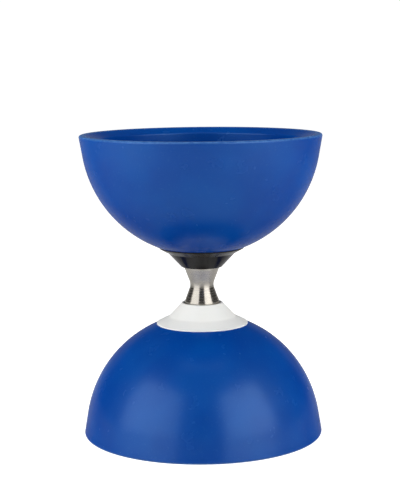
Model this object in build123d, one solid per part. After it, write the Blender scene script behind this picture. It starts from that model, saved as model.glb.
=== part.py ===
from build123d import *
import os
from math import acos, cos, radians, sin, sqrt, tan

# A diabolo: two soft hemispherical cups, back to back, on a one-way bearing axle.
# Millimetres. +Z runs along the axle, and the origin is the centre of the axle's waist.
# Pieces that come in pairs are drawn for the upper half, and mirrored for the lower one.
# The hubs are such a pair too, but the lower one's flange is wider.

# Cups
RIM_RADIUS = 57.5
CUP_RADIUS = 56.68  # outside of the spherical part
CUP_CENTRE = 71.2  # height of the sphere's centre above the waist
CUP_WALL = 3.3
RIM_ROUND = 0.95
RIM_PLANE = CUP_CENTRE + RIM_ROUND
LAND_INNER_RADIUS = 54.8  # the flat ring that the diabolo stands on
LAND_ROUND = 1.5
LIP_INNER_RADIUS = 48.2
LIP_DROP = 2.55
LIP_ROUND = 0.9
WALL_BLEND = 25.0  # where the straight inner wall runs into the sphere
CUP_FLOOR = 20.0  # flat inside bottom
FLOOR_ROUND = 1.0
CUP_HOLE_RADIUS = 12.1

# Hubs
HUB_END = 8.7
HUB_END_RADIUS = 9.75
HUB_END_ROUND = 0.5
HUB_CAVITY_RADIUS = 9.06
HUB_CREASE = (16.0, 15.4)  # radius and height where the cone meets the flange
HUB_CREASE_ROUND = 1.5
UPPER_FLANGE_RADIUS = 20.3
LOWER_FLANGE_RADIUS = 21.9
FLANGE_EDGE = 0.5  # thickness of the flange at its edge
FLANGE_EDGE_ROUND = 0.2
HUB_WEB_FOOT = 16.5
SPIGOT_RADIUS = 12.0
SPIGOT_TOP = 19.5
LUG_COUNT = 3
LUG_RADIUS = 2.0
LUG_CIRCLE = 16.0
LUG_FOOT = 16.4  # inside the flange
LUG_TOP = 18.9
LUG_CLEARANCE = 0.1

# Axle
WAIST_RADIUS = 5.65
WAIST_ARC = 5.0
WAIST_BORE_RADIUS = 3.6
SLEEVE_CONE_ANGLE = 20.5  # of the string groove's sides, from the axis
SLEEVE_RADIUS = 8.3
SLEEVE_END = 15.1
GROOVE_EDGE_ROUND = 3.0
SLEEVE_END_ROUND = 0.4
SHAFT_RADIUS = 2.5  # M5 ends, at the thread's crests
SHAFT_CORE_RADIUS = 3.0
SHAFT_END = 31.0
SHAFT_CHAMFER = 0.5
SHOULDER = 10.0  # height of the bearing seats' shoulders

# Ball bearings, 5 x 11 x 5
BEARING_RADIUS = 5.5
BEARING_WIDTH = 5.0
INNER_SHOULDER_RADIUS = 3.35
OUTER_SHOULDER_RADIUS = 4.65
BALL_CIRCLE = 4.0
BALL_RADIUS = 0.97
BALL_COUNT = 8
GROOVE_RADIUS = 1.0
RING_CHAMFER = 0.2
BORE_CHAMFER = 0.15
BALL_CAGE_RIM = 0.28  # from the balls to the cage's faces
BALL_CAGE_HALF_WIDTH = 0.38
BALL_POCKET_CLEARANCE = 0.06
SHIELD_SEAT_RADIUS = 4.9
SHIELD_SEAT_DEPTH = 0.45
SHIELD_THICKNESS = 0.3
SHIELD_INSET = 0.1
SHIELD_GAP = 0.1  # from the shields to the inner ring

# One-way roller clutch, 6 x 10 x 8
CLUTCH_FOOT = 2.0
CLUTCH_RADIUS = 5.0
CLUTCH_WALL_RADIUS = 4.52
CLUTCH_FLANGE = 0.35
CLUTCH_MOUTH_RADIUS = 3.32
CLUTCH_CAGE_INNER_RADIUS = 3.15
CLUTCH_CAGE_RADIUS = 4.42
CLUTCH_CAGE_END_GAP = 0.06
ROLLER_COUNT = 6
ROLLER_CIRCLE = 3.76
ROLLER_RADIUS = 0.74
ROLLER_LENGTH = 5.5
ROLLER_CHAMFER = 0.1
RAMP_RADIUS = 0.92
RAMP_OFFSET = 0.35
WINDOW_AHEAD = 0.85  # of a cage window, from its roller's axis
WINDOW_BEHIND = 1.8
WINDOW_DEPTH = 2.2
WINDOW_END_GAP = 0.1
SPRING_WIDTH = 4.0
SPRING_THICKNESS = 0.12
SPRING_RADII = (3.2, 3.95)  # of a spring's two ends
SPRING_CREST = 0.86  # tangential places of a bowed spring's crest and ends
SPRING_ENDS = 1.62

# Fasteners
PLATE_RADIUS = 14.8
PLATE_THICKNESS = 2.5
PLATE_ROUND = 0.8
WASHER_RADIUS = 7.5
WASHER_THICKNESS = 1.2
WASHER_CHAMFER = 0.15
NUT_ACROSS_FLATS = 8.0
NUT_HEIGHT = 5.0
NUT_HEX_HEIGHT = 3.3
NUT_CHAMFER_ANGLE = 30
NUT_COLLAR_RADIUS = 3.6
NUT_COLLAR_ROUND = 0.4
INSERT_RADIUS = 3.15
INSERT_LIP_RADIUS = 2.85
INSERT_LIP = 0.4

# Clearances
FACE_GAP = 0.02  # between faces that bear on each other
SEAT_GAP = 0.01  # radial, at fitted diameters
HOLE_CLEARANCE = 0.12  # radial, where a hole passes the shaft freely

# Heights of the stack on the shaft
BEARING_FOOT = SHOULDER + FACE_GAP
BEARING_TOP = BEARING_FOOT + BEARING_WIDTH
BEARING_MIDDLE = BEARING_FOOT + BEARING_WIDTH / 2
CLUTCH_MIDDLE = (CLUTCH_FOOT + SHOULDER) / 2
PLATE_FOOT = CUP_FLOOR + FACE_GAP
PLATE_TOP = CUP_FLOOR + PLATE_THICKNESS
WASHER_FOOT = PLATE_TOP + FACE_GAP
WASHER_TOP = PLATE_TOP + WASHER_THICKNESS
NUT_FOOT = WASHER_TOP + FACE_GAP
NUT_TOP = NUT_FOOT + NUT_HEIGHT
INSERT_TOP = NUT_TOP - INSERT_LIP


def turned(outline):
    """The solid that a closed outline of (radius, height) edges sweeps about the axle."""
    return revolve(Plane.XZ * make_face(outline), Axis.Z)


def disc(radius, low, high):
    """A plain cylinder on the axle between two heights."""
    return Pos(0, 0, (low + high) / 2) * Cylinder(radius, high - low)


def tube(inner, outer, low, high):
    """A plain ring between two radii and two heights."""
    return disc(outer, low, high) - disc(inner, low, high)


def rounded(face, corner, radius):
    """The face with the corner nearest a point rounded off."""
    return fillet(face.vertices().sort_by_distance((*corner, 0))[0], radius)


def sphere_point(sphere_radius, radius):
    """Where a sphere about the cup's centre has a given radius from the axle, below its centre."""
    return (radius, CUP_CENTRE - sqrt(sphere_radius**2 - radius**2))


def largest_circles(shape):
    """The circular edges of a shape that have its greatest radius."""
    return shape.edges().filter_by(GeomType.CIRCLE).group_by(SortBy.RADIUS)[-1]


def around(shape, count):
    """Equally spaced copies of a shape about the axle, the first one half a step round from +X."""
    return [Rot(0, 0, 360 * (i + 0.5) / count) * shape for i in range(count)]


def lugs(radius, low, high):
    """Three round posts on the lug circle."""
    post = Pos(LUG_CIRCLE, 0, (low + high) / 2) * Cylinder(radius, high - low)
    return around(post, LUG_COUNT)


def cup():
    """Soft cup: a sphere that runs out in a tangent cone to a thick rim with an inward lip."""
    inner_radius = CUP_RADIUS - CUP_WALL
    crest_radius = RIM_RADIUS - RIM_ROUND
    flare_angle = acos((CUP_RADIUS - RIM_ROUND) / crest_radius)
    flare_foot = (CUP_RADIUS * cos(flare_angle), CUP_CENTRE - CUP_RADIUS * sin(flare_angle))
    rim_corner = (crest_radius + RIM_ROUND * (tan(flare_angle) + 1 / cos(flare_angle)), RIM_PLANE)
    land_corner = (LAND_INNER_RADIUS, RIM_PLANE)
    lip_corner = (LIP_INNER_RADIUS, RIM_PLANE - LIP_DROP)
    wall_foot = sphere_point(inner_radius, LIP_INNER_RADIUS)
    floor_edge = (sqrt(inner_radius**2 - (CUP_CENTRE - CUP_FLOOR) ** 2), CUP_FLOOR)
    hole_top = (CUP_HOLE_RADIUS, CUP_FLOOR)
    hole_foot = sphere_point(CUP_RADIUS, CUP_HOLE_RADIUS)
    outline = [
        ThreePointArc(hole_foot, sphere_point(CUP_RADIUS, CUP_RADIUS / 2), flare_foot),
        Polyline(flare_foot, rim_corner, land_corner, lip_corner, wall_foot),
        ThreePointArc(wall_foot, sphere_point(inner_radius, inner_radius / 2), floor_edge),
        Polyline(floor_edge, hole_top, hole_foot),
    ]
    face = make_face(outline)
    face = rounded(face, rim_corner, RIM_ROUND)
    face = rounded(face, land_corner, LAND_ROUND)
    face = rounded(face, lip_corner, LIP_ROUND)
    face = rounded(face, wall_foot, WALL_BLEND)
    face = rounded(face, floor_edge, FLOOR_ROUND)
    pockets = lugs(LUG_RADIUS + LUG_CLEARANCE, HUB_CREASE[1], LUG_TOP + LUG_CLEARANCE)
    return revolve(Plane.XZ * face, Axis.Z) - pockets


def hub(flange_radius):
    """Cup seat: a cone with a thin flange that beds on the cup, a spigot through it and drive lugs."""
    bed_radius = CUP_RADIUS + FACE_GAP
    end_outer = (HUB_END_RADIUS, HUB_END)
    end_inner = (HUB_CAVITY_RADIUS, HUB_END)
    edge_back = sphere_point(bed_radius, flange_radius)
    edge_front = (flange_radius, edge_back[1] - FLANGE_EDGE)
    spigot_foot = sphere_point(bed_radius, SPIGOT_RADIUS)
    bore_radius = SHAFT_RADIUS + HOLE_CLEARANCE
    outline = [
        Polyline(end_inner, end_outer, HUB_CREASE, edge_front, edge_back),
        ThreePointArc(edge_back, sphere_point(bed_radius, LUG_CIRCLE), spigot_foot),
        Polyline(
            spigot_foot,
            (SPIGOT_RADIUS, SPIGOT_TOP),
            (bore_radius, SPIGOT_TOP),
            (bore_radius, HUB_WEB_FOOT),
            (HUB_CAVITY_RADIUS, HUB_WEB_FOOT),
            end_inner,
        ),
    ]
    face = make_face(outline)
    face = rounded(face, end_outer, HUB_END_ROUND)
    face = rounded(face, HUB_CREASE, HUB_CREASE_ROUND)
    face = rounded(face, edge_front, FLANGE_EDGE_ROUND)
    return revolve(Plane.XZ * face, Axis.Z) + lugs(LUG_RADIUS, LUG_FOOT, LUG_TOP)


def axle_sleeve():
    """Hourglass sleeve that the string runs on, bored for both bearings and the clutch."""
    angle = radians(SLEEVE_CONE_ANGLE)
    arc_radius = WAIST_RADIUS + WAIST_ARC * (1 - cos(angle))
    arc_height = WAIST_ARC * sin(angle)
    cone_height = arc_height + (SLEEVE_RADIUS - arc_radius) / tan(angle)
    seat_radius = BEARING_RADIUS + SEAT_GAP
    clutch_radius = CLUTCH_RADIUS + SEAT_GAP
    outline = [
        ThreePointArc((arc_radius, -arc_height), (WAIST_RADIUS, 0), (arc_radius, arc_height)),
        Polyline(
            (arc_radius, arc_height),
            (SLEEVE_RADIUS, cone_height),
            (SLEEVE_RADIUS, SLEEVE_END),
            (seat_radius, SLEEVE_END),
            (seat_radius, SHOULDER),
            (clutch_radius, SHOULDER),
            (clutch_radius, CLUTCH_FOOT),
            (WAIST_BORE_RADIUS, CLUTCH_FOOT),
            (WAIST_BORE_RADIUS, -SHOULDER),
            (seat_radius, -SHOULDER),
            (seat_radius, -SLEEVE_END),
            (SLEEVE_RADIUS, -SLEEVE_END),
            (SLEEVE_RADIUS, -cone_height),
            (arc_radius, -arc_height),
        ),
    ]
    face = make_face(outline)
    for side in (1, -1):
        face = rounded(face, (SLEEVE_RADIUS, side * cone_height), GROOVE_EDGE_ROUND)
        face = rounded(face, (SLEEVE_RADIUS, side * SLEEVE_END), SLEEVE_END_ROUND)
    return revolve(Plane.XZ * face, Axis.Z)


def axle_shaft():
    """Stepped shaft: a journal for the clutch, and two thinner ends for bearings and nuts."""
    journal = Cylinder(SHAFT_CORE_RADIUS, 2 * SHOULDER)
    ends = Cylinder(SHAFT_RADIUS, 2 * SHAFT_END)
    ends = chamfer(ends.edges().filter_by(GeomType.CIRCLE), SHAFT_CHAMFER)
    return ends + journal


def bearing_outer_ring():
    """Outer ring with a ball groove and a seat for a shield at each face."""
    ring = tube(OUTER_SHOULDER_RADIUS, BEARING_RADIUS, BEARING_FOOT, BEARING_TOP)
    ring = chamfer(largest_circles(ring), RING_CHAMFER)
    ring -= disc(SHIELD_SEAT_RADIUS, BEARING_FOOT, BEARING_FOOT + SHIELD_SEAT_DEPTH)
    ring -= disc(SHIELD_SEAT_RADIUS, BEARING_TOP - SHIELD_SEAT_DEPTH, BEARING_TOP)
    return ring - Pos(0, 0, BEARING_MIDDLE) * Torus(BALL_CIRCLE, GROOVE_RADIUS)


def bearing_inner_ring():
    """Inner ring with a ball groove."""
    ring = tube(SHAFT_RADIUS + SEAT_GAP, INNER_SHOULDER_RADIUS, BEARING_FOOT, BEARING_TOP)
    bore_edges = ring.edges().filter_by(GeomType.CIRCLE).group_by(SortBy.RADIUS)[0]
    ring = chamfer(bore_edges, BORE_CHAMFER)
    return ring - Pos(0, 0, BEARING_MIDDLE) * Torus(BALL_CIRCLE, GROOVE_RADIUS)


def bearing_balls():
    """The ring of balls."""
    return Compound(around(Pos(BALL_CIRCLE, 0, BEARING_MIDDLE) * Sphere(BALL_RADIUS), BALL_COUNT))


def bearing_cage():
    """Cage ring with a radial pocket for each ball."""
    half_height = BALL_RADIUS + BALL_CAGE_RIM
    blank = tube(
        BALL_CIRCLE - BALL_CAGE_HALF_WIDTH,
        BALL_CIRCLE + BALL_CAGE_HALF_WIDTH,
        BEARING_MIDDLE - half_height,
        BEARING_MIDDLE + half_height,
    )
    drill = Rot(0, 90, 0) * Cylinder(BALL_RADIUS + BALL_POCKET_CLEARANCE, 4 * BALL_CAGE_HALF_WIDTH)
    return blank - around(Pos(BALL_CIRCLE, 0, BEARING_MIDDLE) * drill, BALL_COUNT)


def bearing_shields():
    """Two thin shields, one pressed into each face of the outer ring."""
    inner = INNER_SHOULDER_RADIUS + SHIELD_GAP
    outer = SHIELD_SEAT_RADIUS - SEAT_GAP
    foot = BEARING_FOOT + SHIELD_INSET
    top = BEARING_TOP - SHIELD_INSET
    lower = tube(inner, outer, foot, foot + SHIELD_THICKNESS)
    upper = tube(inner, outer, top - SHIELD_THICKNESS, top)
    return Compound([lower, upper])


def clutch_shell():
    """Drawn cup of the clutch, with a ramp for each roller."""
    foot = CLUTCH_FOOT + FACE_GAP
    top = SHOULDER - FACE_GAP
    shell = tube(CLUTCH_MOUTH_RADIUS, CLUTCH_RADIUS, foot, top)
    shell = chamfer(largest_circles(shell), RING_CHAMFER)
    room_height = top - foot - 2 * CLUTCH_FLANGE
    ramp = Pos(ROLLER_CIRCLE, RAMP_OFFSET, CLUTCH_MIDDLE) * Cylinder(RAMP_RADIUS, room_height)
    shell -= disc(CLUTCH_WALL_RADIUS, foot + CLUTCH_FLANGE, top - CLUTCH_FLANGE)
    return shell - around(ramp, ROLLER_COUNT)


def clutch_cage():
    """Cage ring with a window for each roller and its spring."""
    end_gap = CLUTCH_FLANGE + CLUTCH_CAGE_END_GAP
    foot = CLUTCH_FOOT + end_gap
    blank = tube(CLUTCH_CAGE_INNER_RADIUS, CLUTCH_CAGE_RADIUS, foot, SHOULDER - end_gap)
    window = Box(WINDOW_DEPTH, WINDOW_AHEAD + WINDOW_BEHIND, ROLLER_LENGTH + 2 * WINDOW_END_GAP)
    window = Pos(ROLLER_CIRCLE, (WINDOW_BEHIND - WINDOW_AHEAD) / 2, CLUTCH_MIDDLE) * window
    return blank - around(window, ROLLER_COUNT)


def clutch_rollers():
    """The needle rollers, which run on the shaft."""
    roller = Pos(ROLLER_CIRCLE, 0, CLUTCH_MIDDLE) * Cylinder(ROLLER_RADIUS, ROLLER_LENGTH)
    roller = chamfer(roller.edges().filter_by(GeomType.CIRCLE), ROLLER_CHAMFER)
    return Compound(around(roller, ROLLER_COUNT))


def clutch_springs():
    """A bowed leaf behind each roller, which holds it against its ramp."""
    inner, outer = SPRING_RADII
    bow = ThreePointArc((inner, SPRING_ENDS), ((inner + outer) / 2, SPRING_CREST), (outer, SPRING_ENDS))
    leaf = extrude(SlotArc(bow, SPRING_THICKNESS), SPRING_WIDTH / 2, both=True)
    return Compound(around(Pos(0, 0, CLUTCH_MIDDLE) * leaf, ROLLER_COUNT))


def spacer():
    """Spacer between the bearing's inner ring and the hub's web."""
    return tube(
        SHAFT_RADIUS + HOLE_CLEARANCE,
        INNER_SHOULDER_RADIUS,
        BEARING_TOP + FACE_GAP,
        HUB_WEB_FOOT - FACE_GAP,
    )


def clamp_plate():
    """Round plate that clamps the cup's floor against the hub."""
    plate = tube(SHAFT_RADIUS + HOLE_CLEARANCE, PLATE_RADIUS, PLATE_FOOT, PLATE_TOP)
    return fillet(largest_circles(plate).sort_by(Axis.Z)[-1], PLATE_ROUND)


def washer():
    """Flat washer under the nut."""
    ring = tube(SHAFT_RADIUS + HOLE_CLEARANCE, WASHER_RADIUS, WASHER_FOOT, WASHER_TOP)
    return chamfer(largest_circles(ring), WASHER_CHAMFER)


def lock_nut():
    """Hexagon lock nut: chamfered hexagon, round collar and the pocket that holds its insert."""
    corner_radius = NUT_ACROSS_FLATS / sqrt(3)
    corner_drop = (corner_radius - NUT_ACROSS_FLATS / 2) * tan(radians(NUT_CHAMFER_ANGLE))
    hex_top = NUT_FOOT + NUT_HEX_HEIGHT
    hexagon = Pos(0, 0, NUT_FOOT) * extrude(RegularPolygon(corner_radius, 6), NUT_HEX_HEIGHT)
    crown = turned(
        Polyline(
            (0, NUT_FOOT),
            (NUT_ACROSS_FLATS / 2, NUT_FOOT),
            (corner_radius, NUT_FOOT + corner_drop),
            (corner_radius, hex_top - corner_drop),
            (NUT_ACROSS_FLATS / 2, hex_top),
            (0, hex_top),
            close=True,
        )
    )
    collar = disc(NUT_COLLAR_RADIUS, hex_top, NUT_TOP)
    collar = fillet(largest_circles(collar).sort_by(Axis.Z)[-1], NUT_COLLAR_ROUND)
    body = (hexagon & crown) + collar
    body -= disc(SHAFT_RADIUS + FACE_GAP, NUT_FOOT, hex_top)
    body -= disc(INSERT_RADIUS, hex_top, INSERT_TOP)
    return body - disc(INSERT_LIP_RADIUS, INSERT_TOP, NUT_TOP)


def nut_insert():
    """Nylon ring in the nut's collar, which grips the thread."""
    hex_top = NUT_FOOT + NUT_HEX_HEIGHT
    return tube(SHAFT_RADIUS + SEAT_GAP, INSERT_RADIUS - SEAT_GAP, hex_top + FACE_GAP, INSERT_TOP - FACE_GAP)


def mirrored(shape):
    """The same piece on the lower half."""
    return mirror(shape, about=Plane.XY)


PAIRED = {
    "cup": cup,
    "bearing_outer_ring": bearing_outer_ring,
    "bearing_inner_ring": bearing_inner_ring,
    "bearing_balls": bearing_balls,
    "bearing_cage": bearing_cage,
    "bearing_shields": bearing_shields,
    "spacer": spacer,
    "clamp_plate": clamp_plate,
    "washer": washer,
    "lock_nut": lock_nut,
    "nut_insert": nut_insert,
}
SINGLE = {
    "axle_sleeve": axle_sleeve,
    "axle_shaft": axle_shaft,
    "clutch_shell": clutch_shell,
    "clutch_cage": clutch_cage,
    "clutch_rollers": clutch_rollers,
    "clutch_springs": clutch_springs,
}

os.makedirs("parts", exist_ok=True)
for name, make in PAIRED.items():
    piece = make()
    export_step(piece, f"parts/upper_{name}.step")
    export_step(mirrored(piece), f"parts/lower_{name}.step")
export_step(hub(UPPER_FLANGE_RADIUS), "parts/upper_hub.step")
export_step(mirrored(hub(LOWER_FLANGE_RADIUS)), "parts/lower_hub.step")
for name, make in SINGLE.items():
    export_step(make(), f"parts/{name}.step")
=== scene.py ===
from math import acos, asin, atan2, cos, pi, radians, sin, sqrt, tan

import bmesh
import bpy
from mathutils import Matrix, Vector


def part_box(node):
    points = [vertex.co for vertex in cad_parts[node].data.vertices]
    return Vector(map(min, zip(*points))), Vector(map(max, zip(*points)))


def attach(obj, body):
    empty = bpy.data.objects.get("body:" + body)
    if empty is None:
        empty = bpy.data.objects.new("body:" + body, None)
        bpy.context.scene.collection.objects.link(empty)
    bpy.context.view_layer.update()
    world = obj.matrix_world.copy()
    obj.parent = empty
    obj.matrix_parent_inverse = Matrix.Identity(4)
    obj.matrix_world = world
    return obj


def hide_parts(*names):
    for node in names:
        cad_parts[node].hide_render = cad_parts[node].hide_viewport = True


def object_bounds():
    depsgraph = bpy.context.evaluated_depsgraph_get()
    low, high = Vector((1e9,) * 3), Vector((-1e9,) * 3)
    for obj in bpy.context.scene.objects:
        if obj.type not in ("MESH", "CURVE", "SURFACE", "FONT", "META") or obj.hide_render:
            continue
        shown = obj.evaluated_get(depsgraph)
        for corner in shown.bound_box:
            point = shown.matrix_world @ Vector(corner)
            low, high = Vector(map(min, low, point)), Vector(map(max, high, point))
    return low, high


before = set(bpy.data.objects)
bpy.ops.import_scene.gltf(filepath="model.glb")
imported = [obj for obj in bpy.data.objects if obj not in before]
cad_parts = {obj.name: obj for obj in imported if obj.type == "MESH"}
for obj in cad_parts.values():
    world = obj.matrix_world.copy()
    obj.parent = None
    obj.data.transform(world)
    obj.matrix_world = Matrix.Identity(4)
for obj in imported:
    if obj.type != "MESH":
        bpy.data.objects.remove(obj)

MM = 0.001
cad_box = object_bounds()
floor_level = cad_box[0].z

# Sizes that the frame gives: boxes in metres, the rest in millimetres like all shapes below
CUP_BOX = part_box("upper_cup")
RIM_RADIUS = CUP_BOX[1].x / MM
RIM_PLANE = CUP_BOX[1].z / MM
HUB_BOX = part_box("upper_hub")
HUB_END = HUB_BOX[0].z / MM
HUB_TOP = HUB_BOX[1].z / MM
FLANGE_RADII = {1: HUB_BOX[1].x / MM, -1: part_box("lower_hub")[1].x / MM}
SLEEVE_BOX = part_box("axle_sleeve")
SLEEVE_RADIUS = SLEEVE_BOX[1].x / MM
SLEEVE_END = SLEEVE_BOX[1].z / MM
SHAFT_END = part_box("axle_shaft")[1].z / MM
PLATE_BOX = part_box("upper_clamp_plate")
WASHER_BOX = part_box("upper_washer")
NUT_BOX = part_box("upper_lock_nut")
INSERT_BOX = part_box("upper_nut_insert")

# Shape of the cups
RIM_ROUND = 0.95
CUP_CENTRE = RIM_PLANE - RIM_ROUND
CUP_RADIUS = 56.68
CUP_WALL = 3.3
CUP_INNER_RADIUS = CUP_RADIUS - CUP_WALL
CUP_FLOOR = 20.0
CUP_HOLE_RADIUS = 12.1
CUP_HOLE_CHAMFER = 0.3
FLOOR_CHAMFER = 0.6
LAND_INNER_RADIUS = 54.8  # the flat ring that the diabolo stands on
LAND_ROUND = 1.5
LIP_INNER_RADIUS = 48.2
LIP_DROP = 2.55
LIP_ROUND = 0.9
WALL_BLEND = 25.0  # where the straight inner wall runs into the sphere

# Shape of the hubs
HUB_END_RADIUS = 9.75
HUB_END_ROUND = 0.5
HUB_CAVITY_RADIUS = 9.06
HUB_CAVITY_ROUND = 0.4
HUB_CREASE = (16.0, 15.4)  # radius and height where the cone meets the flange
HUB_CREASE_ROUND = {1: 1.5, -1: 4.0}
HUB_WEB_FOOT = 16.5
FLANGE_EDGE = 0.5
FLANGE_EDGE_ROUND = 0.2
SPIGOT_RADIUS = 12.0
SPIGOT_ROUND = 0.3
LUG_CIRCLE = 16.0
LUG_RADIUS = 2.0
LUG_FOOT = 16.4
LUG_TOP = 18.9
LUG_COUNT = 3
LUG_CLEARANCE = 0.1

# Shape of the axle
WAIST_RADIUS = 5.65
WAIST_ARC = 5.0
WAIST_BORE_RADIUS = 3.6
SLEEVE_CONE_ANGLE = radians(20.5)  # of the string groove's sides, from the axis
GROOVE_EDGE_ROUND = 3.0
SLEEVE_END_ROUND = 0.4
SEAT_RADIUS = 5.51  # for the bearings
SEAT_ROUND = 0.2
CLUTCH_BORE_RADIUS = 5.01
CLUTCH_FOOT = 2.0
SHOULDER = 10.0
SHAFT_RADIUS = 2.5
SHAFT_CHAMFER = 0.5
JOURNAL_RADIUS = 3.0
JOURNAL_CHAMFER = 0.2
CENTRE_DRILL = 0.6  # radius and depth of the shaft's centre marks
THREAD_PITCH = 0.8
THREAD_DEPTH = 0.45
THREAD_FLAT = 0.2  # shares of half a pitch: the flat at the thread's root, and its flank
THREAD_FLANK = 0.65
THREAD_STEPS = 8  # points along each pitch of the thread

# Shape of the fasteners
PLATE_ROUND = 0.8
PLATE_GROOVE = (9.2, 11.2)  # middle radii of the walls of the plate's pressed ring
PLATE_GROOVE_DEPTH = 0.35
PLATE_GROOVE_SLOPE = 0.2
WASHER_ROUND = 0.35
NUT_HEX_HEIGHT = 3.3
NUT_CHAMFER_ANGLE = radians(30)
NUT_EDGE = 0.02  # height of the chamfer's edge in the middle of a flat
NUT_BORE_CHAMFER = 0.3
NUT_COLLAR_RADIUS = 3.6
NUT_COLLAR_ROUND = 0.5
NUT_COLLAR_FOOT = 0.15
INSERT_LIP_RADIUS = 2.85
INSERT_LIP = 0.4
INSERT_BULGE = 0.25
EDGE_BREAK = 0.1  # rounding of small edges that aren't quite sharp

# Clearances
HOLE_CLEARANCE = 0.12  # radial, where a hole passes the shaft freely
FACE_GAP = 0.02
SEAT_GAP = 0.01

# Fineness of the meshes
SEGMENTS = 240  # round the largest pieces
SMALL_SEGMENTS = 96
POST_SEGMENTS = 32
BED_STEPS = 12  # along the hub's face that lies on the cup
SHARP_ANGLE = radians(40)
WELD = 1e-8  # metres; points this close are one


# ---- Outlines: lists of (radius, height) in millimetres ----

def arc(centre, radius, start, end, steps):
    """Points along an arc; angles in radians from the +radius direction."""
    angles = [start + (end - start) * i / steps for i in range(steps + 1)]
    return [(centre[0] + radius * cos(a), centre[1] + radius * sin(a)) for a in angles]


def rounded(corners, steps=6):
    """A closed outline from (radius, height, rounding) corners, with each rounded corner as an arc."""
    points = []
    for i, (x, y, rounding) in enumerate(corners):
        if not rounding:
            points.append((x, y))
            continue
        here = Vector((x, y))
        before = (Vector(corners[i - 1][:2]) - here).normalized()
        after = (Vector(corners[(i + 1) % len(corners)][:2]) - here).normalized()
        half_angle = before.angle(after) / 2
        centre = here + (before + after).normalized() * rounding / sin(half_angle)
        start = here + before * rounding / tan(half_angle) - centre
        sweep = start.angle_signed(here + after * rounding / tan(half_angle) - centre)
        first = atan2(start.y, start.x)
        points += arc(centre, rounding, first, first - sweep, steps)
    return points


def lathe(name, outline, segments=SMALL_SEGMENTS, side=1):
    """A closed mesh turned about the axle, from a list of points or a function of the angle.

    The outline is a loop, unless it starts and ends on the axis. A side of -1 mirrors the piece.
    """
    outline_at = outline if callable(outline) else lambda angle: outline
    made = bmesh.new()
    rings = []
    for k in range(segments):
        angle = 2 * pi * k / segments
        rings.append([
            made.verts.new((r * MM * cos(angle), r * MM * sin(angle), side * z * MM))
            for r, z in outline_at(angle)
        ])
    count = len(rings[0])
    is_loop = outline_at(0)[0][0] > 0
    for k, here in enumerate(rings):
        there = rings[(k + 1) % segments]
        for i in range(count if is_loop else count - 1):
            j = (i + 1) % count
            made.faces.new((here[i], there[i], there[j], here[j]))
    bmesh.ops.remove_doubles(made, verts=made.verts, dist=WELD)
    bmesh.ops.recalc_face_normals(made, faces=made.faces)
    mesh = bpy.data.meshes.new(name)
    made.to_mesh(mesh)
    made.free()
    return finished(name, mesh)


def finished(name, mesh):
    """An object for a mesh, smooth except at its sharp edges, with normals that follow its large faces."""
    mesh.shade_smooth()
    mesh.set_sharp_from_angle(angle=SHARP_ANGLE)
    piece = bpy.data.objects.new(name, mesh)
    bpy.context.scene.collection.objects.link(piece)
    weighted = piece.modifiers.new("weighted_normals", "WEIGHTED_NORMAL")
    weighted.keep_sharp = True
    return piece


def posts(radius, low, high, side):
    """Three round posts on the lug circle, as one mesh object to cut or join with."""
    made = bmesh.new()
    for k in range(LUG_COUNT):
        angle = 2 * pi * (k + 0.5) / LUG_COUNT
        place = Matrix.Translation((
            LUG_CIRCLE * MM * cos(angle),
            LUG_CIRCLE * MM * sin(angle),
            side * (low + high) / 2 * MM,
        ))
        bmesh.ops.create_cone(
            made,
            cap_ends=True,
            segments=POST_SEGMENTS,
            radius1=radius * MM,
            radius2=radius * MM,
            depth=(high - low) * MM,
            matrix=place,
        )
    mesh = bpy.data.meshes.new("posts")
    made.to_mesh(mesh)
    made.free()
    tool = bpy.data.objects.new("posts", mesh)
    bpy.context.scene.collection.objects.link(tool)
    return tool


def combined(piece, tool, operation):
    """The piece with a tool cut out of it or joined to it; the tool is used up."""
    boolean = piece.modifiers.new("combine", "BOOLEAN")
    boolean.operation = operation
    boolean.solver = "EXACT"
    boolean.object = tool
    # The boolean goes first, and the normals are left out while its result becomes the mesh.
    piece.modifiers.move(1, 0)
    piece.modifiers["weighted_normals"].show_viewport = False
    depsgraph = bpy.context.evaluated_depsgraph_get()
    piece.data = bpy.data.meshes.new_from_object(piece.evaluated_get(depsgraph))
    piece.data.set_sharp_from_angle(angle=SHARP_ANGLE)
    piece.modifiers.remove(boolean)
    piece.modifiers["weighted_normals"].show_viewport = True
    bpy.data.objects.remove(tool)
    return piece


# ---- Pieces ----

def sphere_point(radius, r):
    """Where a sphere about the cup's centre has a given radius from the axle, below its centre."""
    return (r, CUP_CENTRE - sqrt(radius**2 - r**2))


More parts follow.
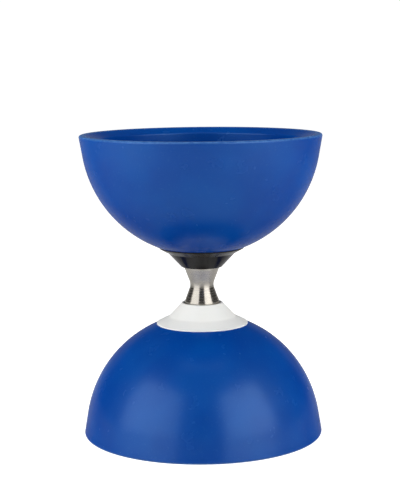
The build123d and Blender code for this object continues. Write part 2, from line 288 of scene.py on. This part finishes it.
def cup(name, side):
    """Rubber cup: a sphere that runs out in a tangent cone to a thick rim with an inward lip."""
    flare = acos((CUP_RADIUS - RIM_ROUND) / (RIM_RADIUS - RIM_ROUND))
    start = -acos(CUP_HOLE_RADIUS / CUP_RADIUS)
    crest = (RIM_RADIUS - RIM_ROUND, CUP_CENTRE)
    blend_r = LIP_INNER_RADIUS - WALL_BLEND
    blend_drop = sqrt((CUP_INNER_RADIUS - WALL_BLEND) ** 2 - blend_r**2)
    blend_angle = asin(blend_drop / (CUP_INNER_RADIUS - WALL_BLEND))
    floor_angle = asin((CUP_CENTRE - CUP_FLOOR) / CUP_INNER_RADIUS)
    floor_radius = CUP_INNER_RADIUS * cos(floor_angle)
    wall_foot = CUP_CENTRE - blend_drop
    lip = rounded([
        (crest[0], RIM_PLANE, 0),
        (LAND_INNER_RADIUS, RIM_PLANE, LAND_ROUND),
        (LIP_INNER_RADIUS, RIM_PLANE - LIP_DROP, LIP_ROUND),
        (LIP_INNER_RADIUS, wall_foot + 1, 0),
    ])
    outline = (
        arc((0, CUP_CENTRE), CUP_RADIUS, start, -flare, 56)
        + arc(crest, RIM_ROUND, -flare, pi / 2, 10)[:-1]
        + lip
        + arc((blend_r, wall_foot), WALL_BLEND, 0, -blend_angle, 14)
        + arc((0, CUP_CENTRE), CUP_INNER_RADIUS, -blend_angle, -floor_angle, 40)[1:]
        + [
            (floor_radius - FLOOR_CHAMFER, CUP_FLOOR),
            (CUP_HOLE_RADIUS + CUP_HOLE_CHAMFER, CUP_FLOOR),
            (CUP_HOLE_RADIUS, CUP_FLOOR - CUP_HOLE_CHAMFER),
        ]
    )
    piece = lathe(name, outline, SEGMENTS, side)
    pockets = posts(LUG_RADIUS + LUG_CLEARANCE, HUB_CREASE[1], LUG_TOP + LUG_CLEARANCE, side)
    return combined(piece, pockets, "DIFFERENCE")


def hub(name, side):
    """Plastic cup seat: cone, thin flange bedded on the cup, spigot and drive lugs."""
    bed = CUP_RADIUS + FACE_GAP
    bore = SHAFT_RADIUS + HOLE_CLEARANCE
    flange = FLANGE_RADII[side]
    reaches = [flange + (SPIGOT_RADIUS - flange) * i / BED_STEPS for i in range(BED_STEPS + 1)]
    back = [sphere_point(bed, reach) for reach in reaches]
    outline = rounded([
        (HUB_CAVITY_RADIUS, HUB_END, EDGE_BREAK),
        (HUB_END_RADIUS, HUB_END, HUB_END_ROUND),
        (*HUB_CREASE, HUB_CREASE_ROUND[side]),
        (flange, back[0][1] - FLANGE_EDGE, FLANGE_EDGE_ROUND),
        *[(r, z, 0) for r, z in back],
        (SPIGOT_RADIUS, HUB_TOP, SPIGOT_ROUND),
        (bore, HUB_TOP, 0),
        (bore, HUB_WEB_FOOT, 0),
        (HUB_CAVITY_RADIUS, HUB_WEB_FOOT, HUB_CAVITY_ROUND),
    ])
    piece = lathe(name, outline, SEGMENTS, side)
    return combined(piece, posts(LUG_RADIUS, LUG_FOOT, LUG_TOP, side), "UNION")


def axle_sleeve():
    """Turned steel sleeve with a waist, bored for the bearings and the clutch."""
    arc_radius = WAIST_RADIUS + WAIST_ARC * (1 - cos(SLEEVE_CONE_ANGLE))
    arc_height = WAIST_ARC * sin(SLEEVE_CONE_ANGLE)
    cone_height = arc_height + (SLEEVE_RADIUS - arc_radius) / tan(SLEEVE_CONE_ANGLE)
    centre = (WAIST_RADIUS + WAIST_ARC, 0)
    waist = arc(centre, WAIST_ARC, pi + SLEEVE_CONE_ANGLE, pi - SLEEVE_CONE_ANGLE, 16)
    outline = rounded([
        *[(r, z, 0) for r, z in waist],
        (SLEEVE_RADIUS, cone_height, GROOVE_EDGE_ROUND),
        (SLEEVE_RADIUS, SLEEVE_END, SLEEVE_END_ROUND),
        (SEAT_RADIUS, SLEEVE_END, SEAT_ROUND),
        (SEAT_RADIUS, SHOULDER, 0),
        (CLUTCH_BORE_RADIUS, SHOULDER, 0),
        (CLUTCH_BORE_RADIUS, CLUTCH_FOOT, 0),
        (WAIST_BORE_RADIUS, CLUTCH_FOOT, 0),
        (WAIST_BORE_RADIUS, -SHOULDER, 0),
        (SEAT_RADIUS, -SHOULDER, 0),
        (SEAT_RADIUS, -SLEEVE_END, SEAT_ROUND),
        (SLEEVE_RADIUS, -SLEEVE_END, SLEEVE_END_ROUND),
        (SLEEVE_RADIUS, -cone_height, GROOVE_EDGE_ROUND),
    ])
    return lathe("sleeve_turned", outline, SEGMENTS)


def thread_radius(angle, z):
    """Radius of a right-hand thread on the shaft's end at an angle and a height."""
    turn = (abs(z) / THREAD_PITCH - (angle if z > 0 else -angle) / (2 * pi)) % 1
    flank = min(1, max(0, (abs(2 * turn - 1) - THREAD_FLAT) / THREAD_FLANK))
    outer_runout = min(1, max(0, (SHAFT_END - abs(z)) / THREAD_PITCH))
    inner_runout = min(1, (abs(z) - HUB_TOP) / THREAD_PITCH)
    chamfer = SHAFT_RADIUS - max(0, abs(z) - (SHAFT_END - SHAFT_CHAMFER))
    return min(chamfer, SHAFT_RADIUS - THREAD_DEPTH * (1 - flank) * outer_runout * inner_runout)


def axle_shaft():
    """Stepped shaft with a ground journal, bearing seats and a cut thread at each end."""
    steps = int((SHAFT_END - HUB_TOP) / THREAD_PITCH * THREAD_STEPS)
    heights = [HUB_TOP + (SHAFT_END - HUB_TOP) * i / steps for i in range(steps + 1)]

    def outline(angle):
        upper = [(thread_radius(angle, z), z) for z in heights]
        lower = [(thread_radius(angle, -z), -z) for z in reversed(heights)]
        journal = [
            (SHAFT_RADIUS, SHOULDER),
            (JOURNAL_RADIUS - JOURNAL_CHAMFER, SHOULDER),
            (JOURNAL_RADIUS, SHOULDER - JOURNAL_CHAMFER),
        ]
        drill = [(CENTRE_DRILL, SHAFT_END), (0, SHAFT_END - CENTRE_DRILL)]
        lower = [(r, -z) for r, z in reversed(drill)] + lower + [(r, -z) for r, z in journal]
        return lower + journal[::-1] + upper + drill

    return lathe("shaft_threaded", outline, SMALL_SEGMENTS)


def clamp_plate(name, side):
    """Round plate in the bottom of a cup."""
    low, high, radius = PLATE_BOX[0].z / MM, PLATE_BOX[1].z / MM, PLATE_BOX[1].x / MM
    bore = SHAFT_RADIUS + HOLE_CLEARANCE
    inner, outer = PLATE_GROOVE
    bottom = high - PLATE_GROOVE_DEPTH
    outline = rounded([
        (bore, low, 0),
        (radius, low, EDGE_BREAK),
        (radius, high, PLATE_ROUND),
        (outer + PLATE_GROOVE_SLOPE, high, EDGE_BREAK),
        (outer - PLATE_GROOVE_SLOPE, bottom, EDGE_BREAK),
        (inner + PLATE_GROOVE_SLOPE, bottom, EDGE_BREAK),
        (inner - PLATE_GROOVE_SLOPE, high, EDGE_BREAK),
        (bore, high, EDGE_BREAK),
    ])
    return lathe(name, outline, SEGMENTS, side)


def washer(name, side):
    """Stamped washer: rolled edge on one face, crisp on the other."""
    low, high, radius = WASHER_BOX[0].z / MM, WASHER_BOX[1].z / MM, WASHER_BOX[1].x / MM
    bore = SHAFT_RADIUS + HOLE_CLEARANCE
    outline = rounded([
        (bore, low, 0),
        (radius, low, 0),
        (radius, high, WASHER_ROUND),
        (bore, high, EDGE_BREAK),
    ])
    return lathe(name, outline, SEGMENTS, side)


def lock_nut(name, side):
    """Chamfered hexagon with a rolled collar that holds the insert."""
    low, high = NUT_BOX[0].z / MM, NUT_BOX[1].z / MM
    corner_radius = NUT_BOX[1].x / MM
    flat_radius = corner_radius * cos(pi / 6)
    hex_top = low + NUT_HEX_HEIGHT
    bore = SHAFT_RADIUS + FACE_GAP
    pocket = INSERT_BOX[1].x / MM + SEAT_GAP

    def outline(angle):
        reach = flat_radius / cos((angle % (pi / 3)) - pi / 6)
        drop = (reach - flat_radius) * tan(NUT_CHAMFER_ANGLE)
        inner = [
            (INSERT_LIP_RADIUS, high),
            (INSERT_LIP_RADIUS, high - INSERT_LIP),
            (pocket, high - INSERT_LIP),
            (pocket, hex_top),
            (bore, hex_top),
            (bore, low + NUT_BORE_CHAMFER),
            (bore + NUT_BORE_CHAMFER, low),
        ]
        hexagon = [
            (flat_radius - NUT_EDGE, low),
            (reach, low + drop + NUT_EDGE),
            (reach, hex_top - drop - NUT_EDGE),
            (flat_radius - NUT_EDGE, hex_top),
        ]
        foot = [(NUT_COLLAR_RADIUS + NUT_COLLAR_FOOT, hex_top)]
        roll_centre = (NUT_COLLAR_RADIUS - NUT_COLLAR_ROUND, high - NUT_COLLAR_ROUND)
        return inner + hexagon + foot + arc(roll_centre, NUT_COLLAR_ROUND, 0, pi / 2, 8)

    return lathe(name, outline, SMALL_SEGMENTS, side)


def nut_insert(name, side):
    """Nylon ring, bulged where the thread has pressed into it."""
    low, high, radius = INSERT_BOX[0].z / MM, INSERT_BOX[1].z / MM, INSERT_BOX[1].x / MM
    bore = SHAFT_RADIUS + SEAT_GAP
    outline = rounded([
        (bore, low, EDGE_BREAK),
        (radius, low, EDGE_BREAK),
        (radius, high, EDGE_BREAK),
        (bore, high, INSERT_BULGE),
    ])
    return lathe(name, outline, SMALL_SEGMENTS, side)


# ---- Materials ----

RUBBER_TINT = (0.4, 0.66, 1.0, 1.0)  # of what the rubber mirrors face on
SCUFF_AND_HIGHLIGHT_DEPTHS = (1.2, 0.2)  # below the rim's plane, where the scuff and the painted crest highlight start and where they are full
SCUFF_AND_HIGHLIGHT_REACHES = (1.5, -0.7)  # the same, inwards from the land's inner edge


class Nodes:
    """Short ways to add nodes to a tree and wire them."""

    def __init__(self, tree):
        self.tree = tree

    def node(self, kind, sockets=None, **settings):
        """A new shader node with some of its sockets fed and its settings set."""
        made = self.tree.nodes.new("ShaderNode" + kind)
        for key, value in settings.items():
            setattr(made, key, value)
        for key, value in (sockets or {}).items():
            self.wire(made.inputs[key], value)
        return made

    def wire(self, socket, value):
        """Feeds a socket from another socket or with a plain value."""
        if isinstance(value, bpy.types.NodeSocket):
            self.tree.links.new(value, socket)
        else:
            socket.default_value = value

    def math(self, operation, a, b=0.0, clamp=False):
        return self.node("Math", {0: a, 1: b}, operation=operation, use_clamp=clamp).outputs[0]


class Look(Nodes):
    """A material in the making: a Principled shader, and the patterns that drive it."""

    def __init__(self, name, **sockets):
        self.material = bpy.data.materials.new(name)
        self.material.use_nodes = True
        super().__init__(self.material.node_tree)
        self.shader = self.tree.nodes["Principled BSDF"]
        self.place = self.node("TexCoord").outputs["Object"]
        axes = self.node("SeparateXYZ", {"Vector": self.place}).outputs
        self.side_height = axes["Z"]
        self.height = self.math("ABSOLUTE", self.side_height)
        flat = self.node("CombineXYZ", {"X": axes["X"], "Y": axes["Y"]}).outputs[0]
        self.radius = self.node("VectorMath", {0: flat}, operation="LENGTH").outputs["Value"]
        self.set(**sockets)

    def set(self, **sockets):
        for key, value in sockets.items():
            self.wire(self.shader.inputs[key.replace("_", " ")], value)

    def noise(self, size, detail=2.0, roughness=0.5):
        """Noise from 0 to 1 whose features are about size metres across."""
        sockets = {"Vector": self.place, "Scale": 1 / size, "Detail": detail, "Roughness": roughness}
        return self.node("TexNoise", sockets).outputs["Fac"]

    def rings(self, pitch, along, detail=1.0):
        """Noise that changes only along one value, so that it makes turning marks."""
        sockets = {"W": along, "Scale": 1 / pitch, "Detail": detail}
        return self.node("TexNoise", sockets, noise_dimensions="1D").outputs["Fac"]

    def remap(self, value, low, high, to_low=0.0, to_high=1.0):
        """A smooth step from one value to another, as an input goes from low to high."""
        sockets = {0: value, 1: low, 2: high, 3: to_low, 4: to_high}
        return self.node("MapRange", sockets, interpolation_type="SMOOTHSTEP").outputs[0]

    def mix(self, share, a, b):
        """Colour a where share is 0, and b where it is 1."""
        made = self.node("Mix", {"Factor": share}, data_type="RGBA")
        for name, value in (("A", a), ("B", b)):
            socket = next(s for s in made.inputs if s.name == name and s.type == "RGBA")
            self.wire(socket, value if isinstance(value, bpy.types.NodeSocket) else (*value, 1))
        return next(s for s in made.outputs if s.type == "RGBA")

    def bump(self, height, depth, normal=None):
        """A bump whose full height is depth metres."""
        made = self.node("Bump", {"Height": height, "Distance": depth, "Strength": 1.0})
        if normal is not None:
            self.wire(made.inputs["Normal"], normal)
        return made.outputs["Normal"]


def rubber(name, colour, dark, pale):
    """Satin moulded rubber: slight colour drift, a fine skin, and a pale ring on the rim, partly scuffed
    where it stands and partly a painted highlight along its crest.

    It mirrors little where it is seen edge-on, so that its outline stays blue.
    """
    look = Look(name, IOR=1.5, Specular_Tint=RUBBER_TINT)
    grazing = look.node("LayerWeight", {"Blend": 0.5}).outputs["Facing"]
    look.set(Specular_IOR_Level=look.remap(grazing, 0.12, 0.6, 0.7, 0.04))
    drift = look.remap(look.noise(28 * MM, 2), 0.3, 0.7)
    tone = look.mix(drift, dark, colour)
    speck = look.remap(look.noise(1.1 * MM, 3, 0.6), 0.56, 0.8, 0, 0.1)
    tone = look.mix(speck, tone, pale)
    # The rim's top is paler: partly real scuffing where the diabolo stands, partly a painted highlight
    # along the rim's crest.
    crest = look.remap(look.height, *((RIM_PLANE - depth) * MM for depth in SCUFF_AND_HIGHLIGHT_DEPTHS))
    ring = look.remap(look.radius, *((LAND_INNER_RADIUS - reach) * MM for reach in SCUFF_AND_HIGHLIGHT_REACHES))
    crest = look.math("MULTIPLY", crest, ring)
    scuff_and_highlight = look.remap(look.noise(1.4 * MM, 4, 0.7), 0.35, 0.7, 0.25, 0.7)
    tone = look.mix(look.math("MULTIPLY", crest, scuff_and_highlight), tone, pale)
    haze = look.remap(look.noise(11 * MM, 3, 0.6), 0.3, 0.75, 0.24, 0.28)
    look.set(Base_Color=tone, Roughness=look.math("ADD", haze, look.math("MULTIPLY", crest, 0.1)))
    skin = look.bump(look.noise(0.8 * MM, 2, 0.55), 0.012 * MM)
    look.set(Normal=look.bump(look.noise(6 * MM, 2), 0.015 * MM, skin))
    return look.material


def moulded(name, colour, marked, roughness, specular, subsurface=0.0):
    """Moulded plastic: mould-turned rings, smudges that change its gloss, and a few handling marks."""
    look = Look(name, IOR=1.5, Specular_IOR_Level=specular)
    look.set(Subsurface_Weight=subsurface, Subsurface_Radius=(1.0, 0.9, 0.8), Subsurface_Scale=1.2 * MM)
    smudge = look.remap(look.noise(4.5 * MM, 3, 0.6), 0.35, 0.7)
    marks = look.remap(look.noise(1.2 * MM, 4, 0.7), 0.6, 0.78, 0, 0.5)
    look.set(Base_Color=look.mix(look.math("MULTIPLY", smudge, marks), colour, marked))
    look.set(Roughness=look.remap(smudge, 0, 1, roughness, roughness + 0.12))
    along = look.math("ADD", look.radius, look.math("MULTIPLY", look.height, 0.6))
    turned = look.bump(look.rings(0.45 * MM, along, 2), 0.006 * MM)
    look.set(Normal=look.bump(look.noise(1.2 * MM, 2), 0.012 * MM, turned))
    return look.material


def steel(name, colour, dull, roughness, pitch, depth, anisotropy=0.0):
    """Turned or ground steel: rings round the axle and a patchy film.

    With anisotropy it is the sleeve's steel, which the string has rubbed at the waist.
    """
    look = Look(name, Metallic=1.0)
    # This rises along flat, sloping and upright faces alike, so that all of them get rings.
    along = look.math("ADD", look.math("MULTIPLY", look.radius, 1.7), look.side_height)
    film = look.remap(look.noise(3.5 * MM, 3, 0.6), 0.35, 0.75)
    share = look.math("MULTIPLY", film, 0.35)
    grooves = look.rings(pitch, along, 3)
    rough = look.remap(grooves, 0.3, 0.7, roughness, roughness + 0.04)
    if anisotropy:
        waist = look.remap(look.height, 3.5 * MM, 0.5 * MM)
        rubbed = look.math("MULTIPLY", waist, look.remap(look.rings(0.3 * MM, along, 4), 0.35, 0.65))
        share = look.math("ADD", share, look.math("MULTIPLY", rubbed, 0.3), clamp=True)
        rough = look.math("ADD", rough, look.math("MULTIPLY", rubbed, 0.08))
        tangent = look.node("Tangent", direction_type="RADIAL", axis="Z").outputs[0]
        look.set(Anisotropic=anisotropy, Anisotropic_Rotation=0.25, Tangent=tangent)
    look.set(Base_Color=look.mix(share, colour, dull), Roughness=rough)
    look.set(Normal=look.bump(grooves, depth))
    return look.material


def zinc(name, colour, dull):
    """Bright zinc plate: cloudy, with a fine grain and dulled high spots."""
    look = Look(name, Metallic=1.0)
    cloud = look.remap(look.noise(2.6 * MM, 4, 0.65), 0.3, 0.72)
    look.set(Base_Color=look.mix(cloud, dull, colour))
    look.set(Roughness=look.remap(look.noise(0.9 * MM, 3, 0.6), 0.3, 0.7, 0.24, 0.42))
    along = look.math("ADD", look.radius, look.height)
    turned = look.bump(look.rings(0.35 * MM, along, 2), 0.008 * MM)
    look.set(Normal=look.bump(look.noise(0.5 * MM, 2), 0.01 * MM, turned))
    return look.material


def polymer(name, colour, pale, roughness):
    """Plain engineering plastic: a faint grain and paler rubbed patches."""
    look = Look(name, IOR=1.5)
    rubbed = look.remap(look.noise(1.3 * MM, 4, 0.65), 0.5, 0.75, 0, 0.5)
    look.set(Base_Color=look.mix(rubbed, colour, pale))
    look.set(Roughness=look.remap(look.noise(0.8 * MM, 2), 0.3, 0.7, roughness, roughness + 0.15))
    look.set(Normal=look.bump(look.noise(0.4 * MM, 3), 0.01 * MM))
    return look.material


def coloured(piece, material):
    """The piece with one material, set on the object where a CAD mesh must stay as it is."""
    if piece.material_slots:
        piece.material_slots[0].link = "OBJECT"
        piece.material_slots[0].material = material
    else:
        piece.data.materials.append(material)
    return piece


BLUE_RUBBER = rubber(
    "blue_rubber",
    colour=(0.0, 0.060, 0.31),
    dark=(0.0, 0.046, 0.275),
    pale=(0.10, 0.25, 0.52),
)
BLACK_PLASTIC = moulded(
    "black_plastic",
    colour=(0.003, 0.002, 0.0025),
    marked=(0.014, 0.011, 0.012),
    roughness=0.14,
    specular=0.2,
)
WHITE_PLASTIC = moulded(
    "white_plastic",
    colour=(0.86, 0.86, 0.82),
    marked=(0.79, 0.78, 0.74),
    roughness=0.34,
    specular=0.5,
    subsurface=0.12,
)
SLEEVE_STEEL = steel(
    "sleeve_steel",
    colour=(0.585, 0.55, 0.49),
    dull=(0.50, 0.465, 0.415),
    roughness=0.24,
    pitch=0.12 * MM,
    depth=0.0007 * MM,
    anisotropy=0.85,
)
SHAFT_STEEL = steel(
    "shaft_steel",
    colour=(0.56, 0.55, 0.53),
    dull=(0.42, 0.41, 0.40),
    roughness=0.24,
    pitch=0.3 * MM,
    depth=0.004 * MM,
)
BEARING_STEEL = steel(
    "bearing_steel",
    colour=(0.66, 0.66, 0.67),
    dull=(0.55, 0.54, 0.53),
    roughness=0.12,
    pitch=0.2 * MM,
    depth=0.002 * MM,
)
SHIELD_STEEL = steel(
    "shield_steel",
    colour=(0.60, 0.61, 0.63),
    dull=(0.50, 0.50, 0.50),
    roughness=0.26,
    pitch=0.4 * MM,
    depth=0.004 * MM,
)
SPRING_STEEL = steel(
    "spring_steel",
    colour=(0.45, 0.44, 0.42),
    dull=(0.35, 0.30, 0.24),
    roughness=0.3,
    pitch=0.4 * MM,
    depth=0.004 * MM,
)
ZINC = zinc("zinc_plate", colour=(0.66, 0.67, 0.70), dull=(0.50, 0.51, 0.53))
CAGE_POLYMER = polymer(
    "cage_polymer",
    colour=(0.035, 0.033, 0.032),
    pale=(0.09, 0.085, 0.08),
    roughness=0.45,
)
NYLON = polymer("blue_nylon", colour=(0.05, 0.16, 0.48), pale=(0.16, 0.28, 0.58), roughness=0.38)

# ---- The object ----

# Pieces in pairs: the function that makes one, its CAD name without upper or lower, the end of its
# own name, and the material and slot of the upper one and of the lower one.
RUBBER = (BLUE_RUBBER, "cup_rubber")
BLACK = (BLACK_PLASTIC, "black_plastic")
WHITE = (WHITE_PLASTIC, "white_plastic")
PLATED = (ZINC, "zinc_steel")
INSERT = (NYLON, "nylon")
PAIRS = [
    (cup, "cup", "rubber_shell", RUBBER, RUBBER),
    (hub, "hub", "cone", BLACK, WHITE),
    (clamp_plate, "clamp_plate", "disc", PLATED, PLATED),
    (washer, "washer", "ring", PLATED, PLATED),
    (lock_nut, "lock_nut", "hexagon", PLATED, PLATED),
    (nut_insert, "nut_insert", "nylon", INSERT, INSERT),
]
for make, node, suffix, upper, lower in PAIRS:
    for half, side, (material, slot) in (("upper", 1, upper), ("lower", -1, lower)):
        piece = coloured(make(f"{half}_{node}_{suffix}", side), material)
        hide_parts(f"{half}_{node}")
        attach(piece, "cups")

sleeve = coloured(axle_sleeve(), SLEEVE_STEEL)
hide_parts("axle_sleeve")
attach(sleeve, "sleeve")

shaft = coloured(axle_shaft(), SHAFT_STEEL)
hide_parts("axle_shaft")
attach(shaft, "cups")

KEPT_NODES = {
    "bearing_outer_ring": BEARING_STEEL,
    "bearing_inner_ring": BEARING_STEEL,
    "bearing_balls": BEARING_STEEL,
    "bearing_cage": CAGE_POLYMER,
    "bearing_shields": SHIELD_STEEL,
    "spacer": SHAFT_STEEL,
    "clutch_shell": BEARING_STEEL,
    "clutch_cage": CAGE_POLYMER,
    "clutch_rollers": BEARING_STEEL,
    "clutch_springs": SPRING_STEEL,
}
for node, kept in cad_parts.items():
    plain_name = node.removeprefix("upper_").removeprefix("lower_")
    if plain_name in KEPT_NODES:
        coloured(kept, KEPT_NODES[plain_name])

# ---- Stage: pale floor, soft studio light and the camera, in metres ----

FLOOR_REACH = 6.0
FLOOR_HOLE_RADIUS = RIM_RADIUS - RIM_ROUND / 3  # in millimetres; it ends under the rim's rounding
PAPER = ((0.80, 0.80, 0.80), (0.84, 0.84, 0.84))  # the floor's two tones, as the camera sees them
PAPER_GRAIN = 0.2
MATT_BOUNCE = (0.78, 0.78, 0.78)  # the floor's tone to matt surfaces
GLOSSY_BOUNCE = (0.72, 0.72, 0.72)  # and to glossy ones
FLOOR_GLOW = 0.75  # to the camera only, so that the floor looks like a lit sweep
WHITE_SKY = 1.05  # what the camera sees behind the floor
FILL = 0.33  # from all round, to matt surfaces
ROOM = 0.05  # from all round, to glossy surfaces

# A standing panel is (azimuth in degrees, width, brightness), and a level one (size, brightness).
PANEL_DISTANCE = 0.85
PANEL_FOOT = -0.05
PANEL_TOP = 0.85
SOFTBOXES = ((-55, 1.0, 1.5), (47, 0.85, 1.88))
SIDE_PANELS = ((-70, 0.9, 3.5), (66, 0.9, 3.2))
BACKDROP_DISTANCE = 1.3
BACKDROP_TOP = 0.45
BACKDROP = (180, 2.2, 0.22)
LEVEL_PANEL_REACH = 1.2
OVERHEAD = (0.8, 0.4)
UNDERNEATH = (1.6, 0.9)

CAMERA_DISTANCE = 0.6508
CAMERA_HEIGHT = 0.1129
CAMERA_PITCH = radians(8.42)
CAMERA_ROLL = radians(-0.564)
CAMERA_YAW = radians(0.068)
CAMERA_LENS = 98.95
CAMERA_SENSOR = 36


def floor():
    """A large pale floor that the diabolo stands on.

    It can't be seen from below, and it has a hole under the lower cup, which lets light into the cup for
    a view from below.
    """
    mesh = bpy.data.meshes.new("floor")
    signs = ((-1, -1), (1, -1), (1, 1), (-1, 1))
    corners = [(x * FLOOR_REACH, y * FLOOR_REACH, floor_level) for x, y in signs]
    mesh.from_pydata(corners, [], [(0, 1, 2, 3)])
    ground = bpy.data.objects.new("floor", mesh)
    bpy.context.scene.collection.objects.link(ground)
    look = Look("pale_floor", Roughness=0.9, Specular_IOR_Level=0.0)
    rays = look.node("LightPath").outputs
    paper = look.mix(look.noise(PAPER_GRAIN, 2), *PAPER)
    unseen = look.mix(rays["Is Glossy Ray"], MATT_BOUNCE, GLOSSY_BOUNCE)
    look.set(Base_Color=look.mix(rays["Is Camera Ray"], unseen, paper))
    look.set(Emission_Color=(1, 1, 1, 1))
    look.set(Emission_Strength=look.math("MULTIPLY", rays["Is Camera Ray"], FLOOR_GLOW))
    from_below = look.node("NewGeometry").outputs["Backfacing"]
    outside = look.math("GREATER_THAN", look.radius, FLOOR_HOLE_RADIUS * MM)
    look.set(Alpha=look.math("MULTIPLY", outside, look.math("SUBTRACT", 1.0, from_below)))
    look.material.cycles.emission_sampling = "NONE"
    mesh.materials.append(look.material)


def panel(place, turn, width, height, radiance, matt, glossy):
    """A soft rectangular light that matt or glossy surfaces see."""
    data = bpy.data.lights.new("panel", "AREA")
    data.shape = "RECTANGLE"
    data.size = width
    data.size_y = height
    data.energy = radiance * pi * width * height
    lamp = bpy.data.objects.new("panel", data)
    lamp.location = place
    lamp.rotation_euler = turn
    lamp.visible_camera = False
    lamp.visible_diffuse = matt
    lamp.visible_glossy = glossy
    bpy.context.scene.collection.objects.link(lamp)


def standing_panel(azimuth, width, radiance, distance, low, high, matt=False, glossy=False):
    """An upright panel that faces the axle. Azimuth 0 is the camera's side, and 90 is +X."""
    turn = radians(azimuth)
    place = (distance * sin(turn), -distance * cos(turn), (low + high) / 2)
    panel(place, (pi / 2, 0, turn), width, high - low, radiance, matt, glossy)


def level_panel(height, turn, size, radiance):
    """A square level panel on the axis, which all surfaces see."""
    panel((0, 0, height), (turn, 0, 0), size, size, radiance, matt=True, glossy=True)


def lights():
    """Softboxes for the highlights, side panels for matt surfaces, a backdrop, and lights above and below.

    The floor hides the light below from everything but the lower cup's rim and inside.
    """
    for box in SOFTBOXES:
        standing_panel(*box, PANEL_DISTANCE, PANEL_FOOT, PANEL_TOP, glossy=True)
    for side_panel in SIDE_PANELS:
        standing_panel(*side_panel, PANEL_DISTANCE, PANEL_FOOT, PANEL_TOP, matt=True)
    standing_panel(*BACKDROP, BACKDROP_DISTANCE, floor_level, BACKDROP_TOP, glossy=True)
    level_panel(LEVEL_PANEL_REACH, 0, *OVERHEAD)
    level_panel(-LEVEL_PANEL_REACH, pi, *UNDERNEATH)


def surroundings():
    """White to the camera, a soft fill to matt surfaces and a dim room to glossy ones."""
    world = bpy.data.worlds.new("studio")
    bpy.context.scene.world = world
    world.use_nodes = True
    nodes = Nodes(world.node_tree)
    rays = nodes.node("LightPath").outputs
    matt = nodes.math("MULTIPLY", rays["Is Diffuse Ray"], FILL - ROOM)
    seen = nodes.math("MULTIPLY", rays["Is Camera Ray"], WHITE_SKY - ROOM)
    strength = nodes.math("ADD", nodes.math("ADD", matt, seen), ROOM)
    background = world.node_tree.nodes["Background"]
    nodes.wire(background.inputs["Color"], (1, 1, 1, 1))
    nodes.wire(background.inputs["Strength"], strength)


def camera():
    """A long-lens camera a little above the upper rim's height, looking slightly down."""
    data = bpy.data.cameras.new("camera")
    data.lens = CAMERA_LENS
    data.sensor_width = CAMERA_SENSOR
    eye = bpy.data.objects.new("camera", data)
    eye.matrix_world = (
        Matrix.Translation((0, -CAMERA_DISTANCE, CAMERA_HEIGHT))
        @ Matrix.Rotation(CAMERA_YAW, 4, "Z")
        @ Matrix.Rotation(pi / 2 - CAMERA_PITCH, 4, "X")
        @ Matrix.Rotation(CAMERA_ROLL, 4, "Z")
    )
    bpy.context.scene.collection.objects.link(eye)
    bpy.context.scene.camera = eye


floor()
lights()
surroundings()
camera()
bpy.context.scene.view_settings.view_transform = "Standard"
